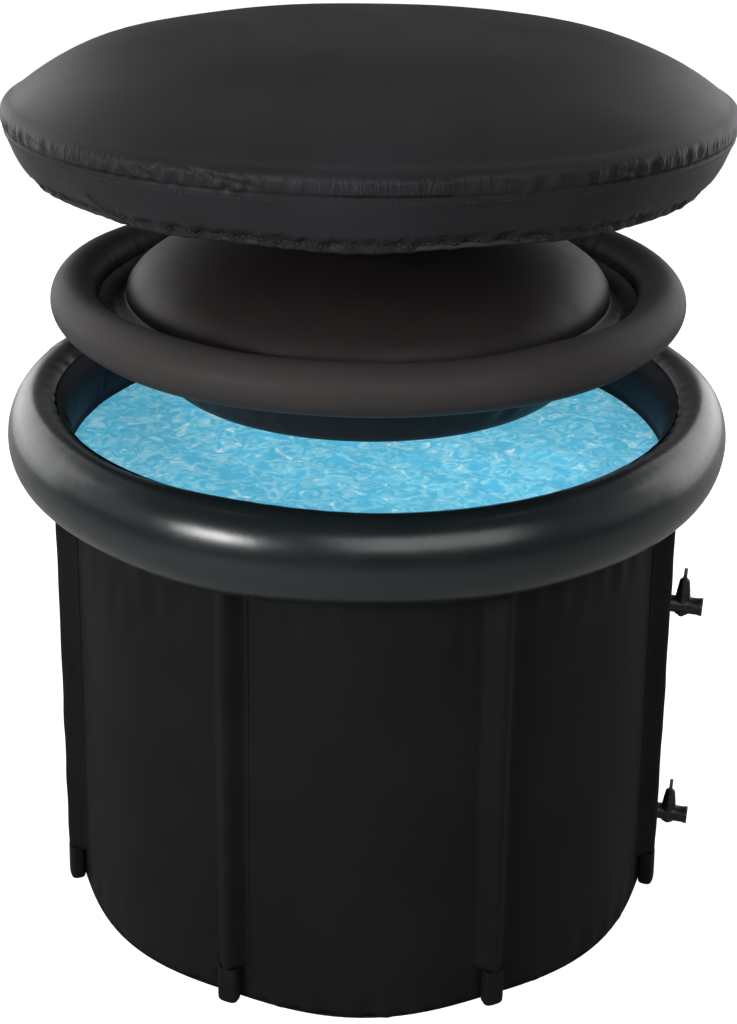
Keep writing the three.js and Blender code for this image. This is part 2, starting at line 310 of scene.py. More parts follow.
def ranged(tree: Tree, value: Socket, source: Pair, target: Pair, way: str = "LINEAR") -> Socket:
    """Carry a value from one range to another and hold it at the ends.

    Args:
        tree: Node tree to add to.
        value: Value socket.
        source: Range that the value comes in.
        target: Range that it goes to.
        way: Blender's name for the run between the ends.

    Returns:
        The new value's socket.
    """
    inputs = {"Value": value, "From Min": source[0], "From Max": source[1]}
    inputs |= {"To Min": target[0], "To Max": target[1]}
    return add_node(tree, "ShaderNodeMapRange", inputs, interpolation_type=way).outputs["Result"]


def around(tree: Tree, value: Socket, middle: float, spread: float) -> Socket:
    """Carry a value of 0 to 1 to a spread on both sides of a middle."""
    return ranged(tree, value, (0.0, 1.0), (middle - spread, middle + spread))


def maths(tree: Tree, operation: str, *values: Socket | float) -> Socket:
    """Result of one sum on one or two values."""
    return add_node(tree, "ShaderNodeMath", dict(enumerate(values)), operation=operation).outputs["Value"]


def bumped(tree: Tree, height: Socket, depth: float, strength: float, under: Socket | None = None) -> Socket:
    """Press a height map into a surface.

    Args:
        tree: Material's node tree.
        height: Height socket.
        depth: Depth of the map, in metres.
        strength: Share of it that shows.
        under: Normal of an earlier map that this one lies on.

    Returns:
        The new normal's socket.
    """
    inputs = {"Height": height, "Distance": depth, "Strength": strength}
    if under is not None:
        inputs["Normal"] = under
    return add_node(tree, "ShaderNodeBump", inputs).outputs["Normal"]


def band_scale(pitch: float) -> float:
    """Scale of a wave texture whose bands are one pitch apart, in metres."""
    return TURN / 20.0 / pitch


class Finish:
    """A procedural material, made once and shared by the pieces that wear it."""

    name: str

    def shade(self, tree: Tree) -> dict:
        """Return the inputs of the surface shader; each finish has its own."""
        raise NotImplementedError

    @cache
    def material(self) -> bpy.types.Material:
        """Return the finish's material, building it the first time."""
        made = bpy.data.materials.new(self.name)
        made.use_nodes = True
        tree = made.node_tree
        tree.nodes.clear()
        surface = add_node(tree, "ShaderNodeBsdfPrincipled", self.shade(tree))
        add_node(tree, "ShaderNodeOutputMaterial", {"Surface": surface.outputs["BSDF"]})
        return made


@dataclass(frozen=True)
class WovenCloth(Finish):
    """Coated cloth with a fine plain weave, laid out in its own flat coordinates."""

    name: str
    colour: str
    pale: str
    thread_mm: float
    roughness: float
    specular: float
    weave_depth_mm: float = 0.1
    patch: float = 0.12
    uneven: float = 0.06

    def shade(self, tree: Tree) -> dict:
        """Weave from two crossed sets of threads over soft mottling."""
        flat = add_node(tree, "ShaderNodeUVMap", uv_map=UV_NAME).outputs["UV"]
        place = piece_place(tree)
        wave = {"Vector": flat, "Scale": band_scale(self.thread_mm * MM), "Distortion": 0.4}
        ways = [add_node(tree, "ShaderNodeTexWave", wave, bands_direction=way) for way in ("X", "Y")]
        weave = maths(tree, "MAXIMUM", *[way.outputs["Fac"] for way in ways])
        return {
            "Base Color": mottled(tree, place, self.colour, self.pale, self.patch),
            "Roughness": around(tree, noise(tree, place, 9.0, 3.0), self.roughness, self.uneven),
            "Specular IOR Level": self.specular,
            "Normal": bumped(tree, weave, self.weave_depth_mm * MM, 0.5),
        }


@dataclass(frozen=True)
class GatheredCloth(WovenCloth):
    """Thin cloth with fine puckers above its seam and crumples above its hem."""

    seam: float = 0.0
    hem: float = 0.0
    band: float = 0.02
    pucker_mm: float = 8.0
    crumple_mm: float = 17.0
    depth_mm: float = 6.0

    def near(self, tree: Tree, height: Socket, full: float, none: float) -> Socket:
        """Fade from full at one height to none at another."""
        return ranged(tree, height, (full, none), (1.0, 0.0), "SMOOTHSTEP")

    def drawn(self, tree: Tree, place: Socket, across: float, up: float) -> Socket:
        """Noise drawn out to a width and a height, in metres."""
        scale = (1.0 / across, 1.0 / across, 1.0 / up)
        stretched = add_node(tree, "ShaderNodeMapping", {"Vector": place, "Scale": scale})
        return noise(tree, stretched.outputs["Vector"], 1.0, 2.0, distortion=0.8)

    def shade(self, tree: Tree) -> dict:
        """The weave, with the gathers pressed over it."""
        inputs = super().shade(tree)
        place = piece_place(tree)
        height = add_node(tree, "ShaderNodeSeparateXYZ", {"Vector": place}).outputs["Z"]
        pucker = self.pucker_mm * MM
        crumple = self.crumple_mm * MM
        masks = (
            self.near(tree, height, self.seam + 0.6 * self.band, self.seam + 1.2 * self.band),
            self.near(tree, height, self.seam + 0.003, self.seam - 0.001),
            ranged(tree, self.drawn(tree, place, 0.11, 0.4), (0.38, 0.58), (0.3, 1.0)),
        )
        gathers = self.drawn(tree, place, pucker, 4.0 * pucker)
        for mask in masks:
            gathers = maths(tree, "MULTIPLY", gathers, mask)
        low = self.near(tree, height, self.hem + 0.008, self.hem + 0.03)
        crumples = maths(tree, "MULTIPLY", low, self.drawn(tree, place, crumple, 1.2 * crumple))
        pressed = maths(tree, "ADD", gathers, crumples)
        inputs["Normal"] = bumped(tree, pressed, self.depth_mm * MM, 0.9, inputs["Normal"])
        return inputs


@dataclass(frozen=True)
class WeldedFilm(Finish):
    """Vinyl film with a satin skin, a faint pebble grain and soft unevenness."""

    name: str
    colour: str
    pale: str
    roughness: float
    specular: float
    grain_mm: float = 1.2
    grain_depth_mm: float = 0.03
    sag_mm: float = 1.2
    patch: float = 0.15
    uneven: float = 0.07

    def shade(self, tree: Tree) -> dict:
        """Pebble grain under a satin gloss that varies a little."""
        place = piece_place(tree)
        cells = {"Vector": place, "Scale": 1.0 / (self.grain_mm * MM)}
        grain = add_node(tree, "ShaderNodeTexVoronoi", cells, feature="SMOOTH_F1").outputs["Distance"]
        sag = bumped(tree, noise(tree, place, 28.0, 2.0), self.sag_mm * MM, 0.35)
        return {
            "Base Color": mottled(tree, place, self.colour, self.pale, self.patch),
            "Roughness": around(tree, noise(tree, place, 14.0, 5.0), self.roughness, self.uneven),
            "Specular IOR Level": self.specular,
            "Normal": bumped(tree, grain, self.grain_depth_mm * MM, 0.4, sag),
        }


@dataclass(frozen=True)
class Moulded(Finish):
    """Moulded plastic, rubber, thread or foam with a fine speckled skin."""

    name: str
    colour: str
    pale: str
    roughness: float
    speck_mm: float = 0.8
    speck_depth_mm: float = 0.02
    specular: float = 0.5
    patch: float = 0.03

    def shade(self, tree: Tree) -> dict:
        """Speckled skin over an even colour."""
        place = piece_place(tree)
        speck = noise(tree, place, 1.0 / (self.speck_mm * MM), 3.0)
        return {
            "Base Color": mottled(tree, place, self.colour, self.pale, self.patch),
            "Roughness": self.roughness,
            "Specular IOR Level": self.specular,
            "Normal": bumped(tree, speck, self.speck_depth_mm * MM, 0.5),
        }


@dataclass(frozen=True)
class PoolWater(Finish):
    """Sunlit water over a pale floor, with painted light: soft cells of light, flecks where ripples glint,
    and a painted glow of its own blues.
    """

    name: str
    deep: str
    pale: str
    glint: str
    glow: float
    ripple_mm: float = 19.0
    ripple_depth_mm: float = 5.0
    roughness: float = 0.12
    refraction: float = 1.33

    def shade(self, tree: Tree) -> dict:
        """Two blues and a glint mixed by choppy ripples."""
        chop = noise(tree, piece_place(tree), 1.0 / (self.ripple_mm * MM), 3.0, 0.55, 1.4)
        blues = ramped(tree, chop, (0.42, self.deep), (0.66, self.pale), (0.71, self.glint))
        return {
            "Base Color": blues,
            # Emission of the same blues is a painted glow, painted light standing in for the light that the
            # lid keeps off the water.
            "Emission Color": blues,
            "Emission Strength": self.glow,
            "Roughness": self.roughness,
            "IOR": self.refraction,
            "Normal": bumped(tree, chop, self.ripple_depth_mm * MM, 0.5),
        }


# Coated polyester of the wall, sleeves and base.
SHELL_CLOTH = WovenCloth("coated_polyester_cloth", "#131313", "#181819", 0.9, 0.7, 0.1)
# Thin nylon of the weather cover.
COVER_NYLON = GatheredCloth(
    "cover_nylon", "#1e1e20", "#252528", 0.55, 0.5, 0.14, 0.05, seam=COVER.seam, hem=COVER.hem_height
)
# Vinyl of the inflated rim.
RIM_VINYL = WeldedFilm("rim_vinyl", "#12181a", "#171e20", 0.27, 0.5)
# Vinyl of the lid's pillow and web.
LID_VINYL = WeldedFilm("lid_vinyl", "#211d1d", "#272323", 0.48, 0.11)
# Vinyl of the lid's ring: the lid's vinyl painted paler, painted light standing in for the light that falls
# on the ring's front.
RING_VINYL_PAINTED_LIGHT = WeldedFilm("lid_ring_vinyl_painted_light", "#363333", "#3b3838", 0.5, 0.06)
# Navy vinyl liner.
LINER_VINYL = WeldedFilm("liner_vinyl", "#1b1a22", "#22212c", 0.55, 0.06)
# Closed-cell foam between the shell and the liner.
WALL_FOAM = Moulded("closed_cell_foam", "#8b8d90", "#9a9c9f", 0.9, 2.0, 0.3)
# Plastic of the poles.
POLE_PLASTIC = Moulded("pvc_pole_plastic", "#cfcfca", "#d9d9d4", 0.5)
# Rubber of the boots.
BOOT_RUBBER = Moulded("moulded_boot_rubber", "#0f0f10", "#131314", 0.75, specular=0.15)
# Plastic of the taps.
TAP_PLASTIC = Moulded("abs_tap_plastic", "#121213", "#171719", 0.38)
# Rubber of the tap gaskets.
GASKET_RUBBER = Moulded("nitrile_gasket_rubber", "#1a1a1a", "#202020", 0.7)
# Soft plastic of the air stoppers.
STOPPER_PLASTIC = Moulded("soft_stopper_plastic", "#1f2223", "#26292a", 0.42)
# Covered elastic of the hem.
HEM_ELASTIC = Moulded("covered_elastic", "#1b1b1d", "#242427", 0.85, 0.6, 0.1)
# Polyester sewing thread.
THREAD = Moulded("sewing_thread", "#232325", "#2c2c2f", 0.6, 0.4, 0.05)
# Water in the bath, with painted light in its colour and a painted glow.
WATER = PoolWater("bath_water", "#58c0e3", "#97dcf1", "#eef8fc", 0.54)


# Geometry helpers


def placed(name: str, mesh: bpy.types.Mesh) -> Piece:
    """Link a mesh to the scene as a smooth object at the origin."""
    mesh.polygons.foreach_set("use_smooth", [True] * len(mesh.polygons))
    made = bpy.data.objects.new(name, mesh)
    bpy.context.scene.collection.objects.link(made)
    return made


def grid_object(name: str, points: np.ndarray, span: Pair, wrap: tuple[bool, bool]) -> Piece:
    """Make a quad-grid object with its flat coordinates in metres.

    Args:
        name: Object name.
        points: Array of rows by columns by 3.
        span: Flat size along the columns and along the rows.
        wrap: Whether the rows, and the columns, close on themselves.

    Returns:
        The new object, linked to the scene and shaded smooth.
    """
    rows, columns = points.shape[:2]
    row_faces = rows - (not wrap[0])
    column_faces = columns - (not wrap[1])
    row, column = np.mgrid[0:row_faces, 0:column_faces]
    corner_rows = np.stack([row, row, row + 1, row + 1], -1)
    corner_columns = np.stack([column, column + 1, column + 1, column], -1)
    faces = (corner_rows % rows) * columns + corner_columns % columns
    mesh = bpy.data.meshes.new(name)
    mesh.from_pydata(points.reshape(-1, 3).tolist(), [], faces.reshape(-1, 4).tolist())
    flat = np.stack([corner_columns / column_faces * span[0], corner_rows / row_faces * span[1]], -1)
    mesh.uv_layers.new(name=UV_NAME).data.foreach_set("uv", flat.ravel().astype(np.float32))
    return placed(name, mesh)


def settle(made: Piece) -> Piece:
    """Bake an object's modifiers into its mesh."""
    bpy.context.view_layer.update()
    evaluated = made.evaluated_get(bpy.context.evaluated_depsgraph_get())
    baked = bpy.data.meshes.new_from_object(evaluated)
    made.modifiers.clear()
    made.data = baked
    return made


def thicken(made: Piece, thickness: float) -> Piece:
    """Give a skin its real thickness on its inner side."""
    solid = made.modifiers.new("thickness", "SOLIDIFY")
    solid.thickness = thickness
    solid.offset = -1.0
    solid.use_even_offset = False
    return settle(made)


def merge_doubles(made: Piece) -> Piece:
    """Merge points that lie on one another, such as where a turned skin meets its axis."""
    work = bmesh.new()
    work.from_mesh(made.data)
    bmesh.ops.remove_doubles(work, verts=work.verts, dist=1e-6)
    work.to_mesh(made.data)
    work.free()
    return made


def oval(centre: Pair, half: Pair, start: float, end: float, steps: int) -> list[Pair]:
    """Points along an oval arc in the radius and height plane.

    Args:
        centre: Radius and height of the middle.
        half: Half sizes across and up.
        start: First angle, in degrees.
        end: Last angle, in degrees.
        steps: Number of intervals.

    Returns:
        A list of radius and height pairs.
    """
    angles = np.radians(np.linspace(start, end, steps + 1))
    return [(centre[0] + half[0] * math.cos(a), centre[1] + half[1] * math.sin(a)) for a in angles]


def whole_oval(centre: Pair, half: Pair, steps: int) -> list[Pair]:
    """Points once round an oval, from its inner side."""
    return oval(centre, half, -180.0, 180.0, steps)[:-1]


def resampled(line: Sequence, count: int, soften: int = 0) -> np.ndarray:
    """Spread points evenly along a line, after rounding its corners.

    Args:
        line: Radius and height pairs.
        count: Number of points wanted.
        soften: How many more times the corners are averaged.

    Returns:
        An array of count by 2.
    """
    points = np.asarray(line, float)
    for _ in range(soften + 1):
        steps = np.linalg.norm(np.diff(points, axis=0), axis=1)
        travel = np.concatenate([[0.0], np.cumsum(steps)])
        even = np.linspace(0.0, travel[-1], count)
        points = np.stack([np.interp(even, travel, points[:, i]) for i in (0, 1)], 1)
        points[1:-1] = 0.25 * points[:-2] + 0.5 * points[1:-1] + 0.25 * points[2:]
    return points


def fade(value: np.ndarray, start: float, end: float) -> np.ndarray:
    """Smooth step from 0 at start to 1 at end; start may be above end."""
    share = np.clip((value - start) / (end - start), 0.0, 1.0)
    return share * share * (3.0 - 2.0 * share)


def bell(value: np.ndarray, spread: float) -> np.ndarray:
    """Bump that is 1 at a value of 0 and dies out past its spread."""
    return np.exp(-((value / spread) ** 2))


def turn_gap(angle: np.ndarray, middle: float) -> np.ndarray:
    """Signed shortest angle from a middle given in degrees, in radians."""
    return (angle - math.radians(middle) + math.pi) % TURN - math.pi


def weld_mask(rows: int, middle: float, spread: float) -> np.ndarray:
    """Fade round a tube's section from a weld.

    Args:
        rows: Rows round the section, from its inner side.
        middle: Angle of the weld, in degrees.
        spread: How far the weld reaches, in radians.

    Returns:
        One value for each row.
    """
    turn = np.linspace(-math.pi, math.pi, rows, endpoint=False)[:, None]
    return bell(turn_gap(turn, middle), spread)


@dataclass(frozen=True)
class Crease:
    """A fold line pressed into a turned skin; its ends are degrees round and metres along."""

    start: Pair
    end: Pair
    depth_mm: float
    width_mm: float = 2.4


class Turned:
    """A skin turned about the upright axis, dressed by lifts along its own normal."""

    def __init__(self, line: Sequence, columns: int, looped: bool = False) -> None:
        """Turn a line of radius and height pairs.

        Args:
            line: The skin's section, with its outer side on the right of the way it runs.
            columns: Number of steps round the axis.
            looped: Whether the section closes on itself.
        """
        points = np.asarray(line, float)
        if looped:
            tangent = np.roll(points, -1, 0) - np.roll(points, 1, 0)
        else:
            tangent = np.gradient(points, axis=0)
        tangent /= np.linalg.norm(tangent, axis=1, keepdims=True)
        steps = np.linalg.norm(np.diff(points, axis=0), axis=1)
        self.looped = looped
        self.angle = np.linspace(0.0, TURN, columns, endpoint=False)[None, :]
        self.along = np.concatenate([[0.0], np.cumsum(steps)])[:, None]
        self.normal = np.stack([tangent[:, 1], -tangent[:, 0]], 1)
        self.radius = np.repeat(points[:, 0:1], columns, 1)
        self.height = np.repeat(points[:, 1:2], columns, 1)

    @property
    def run(self) -> float:
        """Length of the skin along its section."""
        return float(self.along[-1, 0])

    def lift(self, amount: np.ndarray) -> None:
        """Move the skin outward along its normal, by metres for each point."""
        self.radius = self.radius + amount * self.normal[:, 0:1]
        self.height = self.height + amount * self.normal[:, 1:2]

    def fold(self, creases: Iterable[Crease], along: np.ndarray) -> None:
        """Press creases into the skin.

        Args:
            creases: The fold lines.
            along: Distance along the skin that their ends are placed by.
        """
        reach = float(self.radius.max())
        for crease in creases:
            ends = [np.array([math.radians(a) * reach, s]) for a, s in (crease.start, crease.end)]
            across = ends[1] - ends[0]
            length = float(np.linalg.norm(across))
            x = turn_gap(self.angle, crease.start[0]) * reach
            y = along - crease.start[1]
            share = np.clip((x * across[0] + y * across[1]) / length**2, 0.0, 1.0)
            gap = np.hypot(x - share * across[0], y - share * across[1])
            taper = 1.0 - (2.0 * share - 1.0) ** 4
            width = crease.width_mm * MM
            valley = bell(gap, width)
            ridge = bell(gap - 1.6 * width, width)
            self.lift(crease.depth_mm * MM * taper * (0.45 * ridge - valley))

    def ring(self, row: int, out: float) -> np.ndarray:
        """Points round one row, moved out along the normal."""
        radius = self.radius[row] + out * self.normal[row, 0]
        height = self.height[row] + out * self.normal[row, 1]
        angle = self.angle[0]
        return np.stack([radius * np.sin(angle), -radius * np.cos(angle), height], -1)

    def build(self, name: str) -> Piece:
        """Make the object."""
        x = self.radius * np.sin(self.angle)
        y = -self.radius * np.cos(self.angle)
        span = (TURN * float(self.radius.max()), self.run)
        made = grid_object(name, np.stack([x, y, self.height], -1), span, (self.looped, True))
        if self.radius.min() < 1e-6:
            merge_doubles(made)
        return made


@dataclass(frozen=True)
class Ripples:
    """A seeded sum of waves round the tub, slanting as it runs along the skin."""

    seed: int
    least: int
    most: int
    height_mm: float = 1.0
    count: int = 7
    slant: float = 40.0
    sharp: bool = False

    def shape(self, skin: Turned, along: np.ndarray) -> np.ndarray:
        """Waves of about unit size.

        Args:
            skin: Skin that the waves run over.
            along: Distance along the skin, in metres.

        Returns:
            One value for each row and column.
        """
        dice = np.random.default_rng(self.seed)
        total = np.zeros(np.broadcast(skin.angle, along).shape)
        for _ in range(self.count):
            order = int(dice.integers(self.least, self.most + 1))
            phase = dice.uniform(0.0, TURN)
            lean = dice.uniform(-self.slant, self.slant)
            wave = np.sin(order * skin.angle + phase + lean * along)
            total += 1.0 - 2.0 * np.abs(wave) if self.sharp else wave
        return total / math.sqrt(self.count / 2.0)

    def over(self, skin: Turned, along: np.ndarray | None = None) -> np.ndarray:
        """The waves at their real height, placed from the skin's first row if not said otherwise."""
        return self.height_mm * MM * self.shape(skin, skin.along if along is None else along)


class StitchRows:
    """Rows of stitches, laid along lines by one shared node group."""

    GROUP = "stitch_rows"
    LENGTH = 0.0042
    GAP = 0.0022
    THREAD = 0.0005

    @cache
    def group(self) -> Tree:
        """Return the node group, building it the first time."""
        tree = bpy.data.node_groups.new(self.GROUP, "GeometryNodeTree")
        face = tree.interface
        for name in ("Geometry", "Material"):
            face.new_socket(name, in_out="INPUT", socket_type=f"NodeSocket{name}")
        face.new_socket("Geometry", in_out="OUTPUT", socket_type="NodeSocketGeometry")
        given = add_node(tree, "NodeGroupInput").outputs
        curve = add_node(tree, "GeometryNodeMeshToCurve", {"Mesh": given["Geometry"]})
        spaced = {"Curve": curve.outputs["Curve"], "Length": self.LENGTH + self.GAP}
        points = add_node(tree, "GeometryNodeCurveToPoints", spaced, mode="LENGTH")
        bead = add_node(tree, "GeometryNodeMeshUVSphere", {"Segments": 6, "Rings": 4, "Radius": 1.0})
        laid = {
            "Points": points.outputs["Points"],
            "Instance": bead.outputs["Mesh"],
            "Rotation": points.outputs["Rotation"],
            "Scale": (self.THREAD, self.THREAD, self.LENGTH / 2.0),
        }
        rows = add_node(tree, "GeometryNodeInstanceOnPoints", laid).outputs["Instances"]
        real = add_node(tree, "GeometryNodeRealizeInstances", {"Geometry": rows}).outputs["Geometry"]
        dressed = {"Geometry": real, "Material": given["Material"]}
        shown = add_node(tree, "GeometryNodeSetMaterial", dressed).outputs["Geometry"]
        add_node(tree, "NodeGroupOutput", {"Geometry": shown})
        return tree

    def along(self, name: str, lines: Sequence[np.ndarray], closed: bool, finish: Finish) -> Piece:
        """Stitch along lines of points.

        Args:
            name: Object name.
            lines: Arrays of points by 3.
            closed: Whether each line closes on itself.
            finish: The thread's finish.

        Returns:
            One object with every stitch as real geometry.
        """
        points: list = []
        edges: list = []
        for line in lines:
            first = len(points)
            points.extend(line.tolist())
            count = len(line)
            edges.extend((first + i, first + (i + 1) % count) for i in range(count - (not closed)))
        mesh = bpy.data.meshes.new(name)
        mesh.from_pydata(points, edges, [])
        made = placed(name, mesh)
        modifier = made.modifiers.new(self.GROUP, "NODES")
        modifier.node_group = self.group()
        sockets = {s.name: s.identifier for s in self.group().interface.items_tree}
        modifier[sockets["Material"]] = finish.material()
        settle(made)
        made.data.polygons.foreach_set("use_smooth", [True] * len(made.data.polygons))
        return made


STITCHES = StitchRows()


class Assembly:
    """A group of pieces that are built, dressed and handed to their bodies together."""

    body: Body = Body.TUB
    ROUND_ANGLE = 32.0
    SHARP_ANGLE = 40.0
    STOPPER_BEVEL = 0.0006

    def own(
        self,
        made: Piece,
        finish: Finish,
        slot: str | None,
        nodes: Iterable[str] = (),
        body: Body | None = None,
    ) -> Piece:
        """Dress a piece and let it ride its body in place of its CAD nodes.

        Args:
            made: The piece.
            finish: Its material.
            slot: The record's material slot, if it has one; not used.
            nodes: CAD nodes that it stands for.
            body: Body to ride, if not the assembly's own.

        Returns:
            The piece.
        """
        made.data.materials.clear()
        made.data.materials.append(finish.material())
        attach(made, (body or self.body).value)
        if nodes:
            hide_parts(*nodes)
        return made

    def paint(self, finish: Finish, *nodes: str) -> None:
        """Give CAD nodes that are shown as they are a finish."""
        for node in nodes:
            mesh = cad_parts[node].data
            mesh.materials.clear()
            mesh.materials.append(finish.material())

    def softened(self, node: str, bevel: float) -> Piece:
        """Copy a CAD node with its edges rounded."""
        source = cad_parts[node]
        made = merge_doubles(placed(f"{node}_look", source.data.copy()))
        rounding = made.modifiers.new("edges", "BEVEL")
        rounding.width = bevel
        rounding.segments = 3
        rounding.limit_method = "ANGLE"
        rounding.angle_limit = math.radians(self.ROUND_ANGLE)
        rounding.harden_normals = False
        settle(made)
        made.data.shade_smooth()
        made.data.set_sharp_from_angle(angle=math.radians(self.SHARP_ANGLE))
        return made

    def stopper(self, label: str, body: Body) -> None:
        """Round and dress an air stopper, and the neck that holds it."""
        for node, rider in ((f"{label}_stopper_neck", None), (f"{label}_stopper", body)):
            made = self.softened(node, self.STOPPER_BEVEL)
            self.own(made, STOPPER_PLASTIC, "stopper_plastic", [node], rider)


class Barrel(Assembly):
    """Cloth wall, base, sleeves, boots, liner and the collars that hold the rim."""

    COLUMNS = 480
    COLLAR_COLUMNS = 720
    SLEEVE_ROWS = 70
    SLEEVE_COLUMNS = 49
    SLEEVE_WAVES = 4
    SLEEVE_SEED = 100
    SLEEVE_SEAMS = (3, -4)
    SLEEVE_LOOSE = 0.012
    SLEEVE_TIGHTEST = 0.985
    SLEEVE_SWELL = 1.6
    BELLY_ROUND = 0.8
    BOOT_SQUARE = 0.62
    BOOT_FLAT = (0.08, 0.06)
    FOOT_PUCKERS = Ripples(3, 40, 90, 0.9)
    HEAD_PUCKERS = Ripples(5, 40, 80, 0.7)
    WALL_WAVES = Ripples(9, 6, 16, 0.6, slant=14.0)
    LINER_PUCKERS = Ripples(21, 30, 70, 1.2)
    COLLAR_PLEATS = Ripples(31, 70, 150, 1.4, sharp=True)

    def midway(self, angle: np.ndarray) -> np.ndarray:
        """Share that runs from 0 at a pole to 1 midway between two poles."""
        return 0.5 + 0.5 * np.cos(POLES.count * angle)

    def belly(self, angle: np.ndarray, height: np.ndarray | float) -> np.ndarray:
        """How far the wall bellies out between the poles."""
        taut = np.clip(1.0 - height / WALL.belly_top, 0.0, 1.0)
        return WALL.belly * self.midway(angle) ** self.BELLY_ROUND * taut

    def wall(self) -> None:
        """The stretched outer cloth."""
        heights = np.linspace(WALL.bottom, WALL.top, 72)
        skin = Turned([(WALL.radius(z), z) for z in heights], self.COLUMNS)
        height = skin.height[:, 0:1]
        low = fade(height, *WALL.foot_fade)
        high = fade(height, *WALL.head_fade) * fade(height, *WALL.head_end)
        slack = fade(self.midway(skin.angle), *WALL.slack_fade)
        skin.lift(self.belly(skin.angle, height))
        skin.lift(slack * low * self.FOOT_PUCKERS.over(skin))
        skin.lift(slack * high * self.HEAD_PUCKERS.over(skin))
        skin.lift(slack * fade(height, *WALL.wave_fade) * self.WALL_WAVES.over(skin))
        made = thicken(skin.build("wall_cloth"), WALL.cloth)
        self.own(made, SHELL_CLOTH, "shell_cloth", ["outer_shell"])

    def base(self) -> None:
        """The base panel, cut to the wall's foot."""
        reach = WALL.base_radius
        cloth = WALL.base_cloth
        under = [(reach * s, 0.0) for s in np.linspace(0.1, 0.995, 10)]
        edge = [(reach, 0.3 * cloth), (reach, 0.9 * cloth)]
        skin = Turned([(0.0, 0.0), *under, *edge, (WALL.base_lap, cloth), (0.0, cloth)], 160)
        skin.radius = skin.radius + self.belly(skin.angle, 0.0) * (skin.radius / reach) ** 4
        made = skin.build("base_cloth")
        self.own(made, SHELL_CLOTH, "shell_cloth", ["base_panel"])

    def liner(self) -> None:
        """The navy liner bag, wall and floor in one."""
        top = WALL.top
        depths = np.linspace(top, WALL.liner_floor + 0.01, 60)
        wall = [(WALL.radius(z) - WALL.liner_inset, z) for z in depths]
        foot = WALL.radius(WALL.liner_floor) - WALL.liner_inset
        floor = [(foot * s, WALL.liner_floor) for s in np.linspace(0.985, 0.0, 30)]
        skin = Turned([*wall, *floor], 360)
        height = skin.height[:, 0:1]
        inside = fade(height, *WALL.liner_top_fade) * fade(height, *WALL.liner_foot_fade)
        slack = self.LINER_PUCKERS.height_mm * MM + self.LINER_PUCKERS.over(skin)
        skin.lift(inside * slack.clip(0.0))
        made = thicken(skin.build("liner_film"), WALL.liner_film)
        self.own(made, LINER_VINYL, "liner_film", ["inner_liner"])

    def collars(self) -> None:
        """The strips welded round the rim, outside and inside."""
        centre = (RIM.radius, RIM.height)
        near = (RIM.across + COLLAR.gap, RIM.up + COLLAR.gap)
        lap = [(WALL.radius(z) + COLLAR.outer_off, z) for z in np.linspace(*COLLAR.outer_lap, 4)]
        outer = Turned([*lap, *oval(centre, near, *COLLAR.outer_weld, 14)], self.COLUMNS)
        strip = thicken(outer.build("outer_collar_film"), COLLAR.outer_film)
        over = (near[0] + COLLAR.outer_film, near[1] + COLLAR.outer_film)
        inset = WALL.liner_inset + COLLAR.inner_off
        lap = [(WALL.radius(z) - inset, z) for z in np.linspace(*COLLAR.inner_lap, 6)]
        line = [*oval(centre, over, *COLLAR.inner_weld, 44), *lap]
        inner = Turned(resampled(line, 54, 1), self.COLLAR_COLUMNS)
        band = fade(inner.along, 0.0, COLLAR.pleat_top) * fade(inner.along, inner.run, COLLAR.pleat_foot)
        inner.lift(band * self.COLLAR_PLEATS.over(inner).clip(0.0))
        navy = thicken(inner.build("inner_collar_film"), COLLAR.inner_film)
        self.own(strip, SHELL_CLOTH, "shell_cloth", ["outer_collar"])
        self.own(navy, LINER_VINYL, "liner_film", ["inner_collar"])

    def staved(self, angle: float, across: np.ndarray, out: np.ndarray, up: np.ndarray) -> np.ndarray:
        """Carry points from a pole's leaning frame to the tub's.

        Args:
            angle: The pole's angle round the tub.
            across: Distances along the wall's turn.
            out: Distances out from the wall.
            up: Distances up the wall.

        Returns:
            An array of rows by columns by 3.
        """
        foot = Matrix.Translation((0.0, WALL.base_radius, 0.0))
        stave = Matrix.Rotation(angle + math.pi, 4, "Z") @ foot @ Matrix.Rotation(WALL.lean, 4, "X")
        local = np.stack(np.broadcast_arrays(across, out, up, 1.0), -1)
        return (local @ np.array(stave).T)[..., :3]

    def sleeve_arch(self) -> np.ndarray:
        """Section of a sleeve's cloth over its pole, from edge to edge."""
        across = np.linspace(POLES.sleeve_half, -POLES.sleeve_half, 121)
        wall = POLES.sleeve_lift - across**2 / (2.0 * WALL.top_radius)
        crown = POLES.stand_off + POLES.radius + POLES.sleeve_ease
        share = np.clip(across / (POLES.sleeve_half - POLES.sleeve_flange), -1.0, 1.0)
        swell = np.cos(share * math.pi / 2.0) ** self.SLEEVE_SWELL
        return resampled(list(zip(across, wall + (crown - wall) * swell)), self.SLEEVE_COLUMNS)

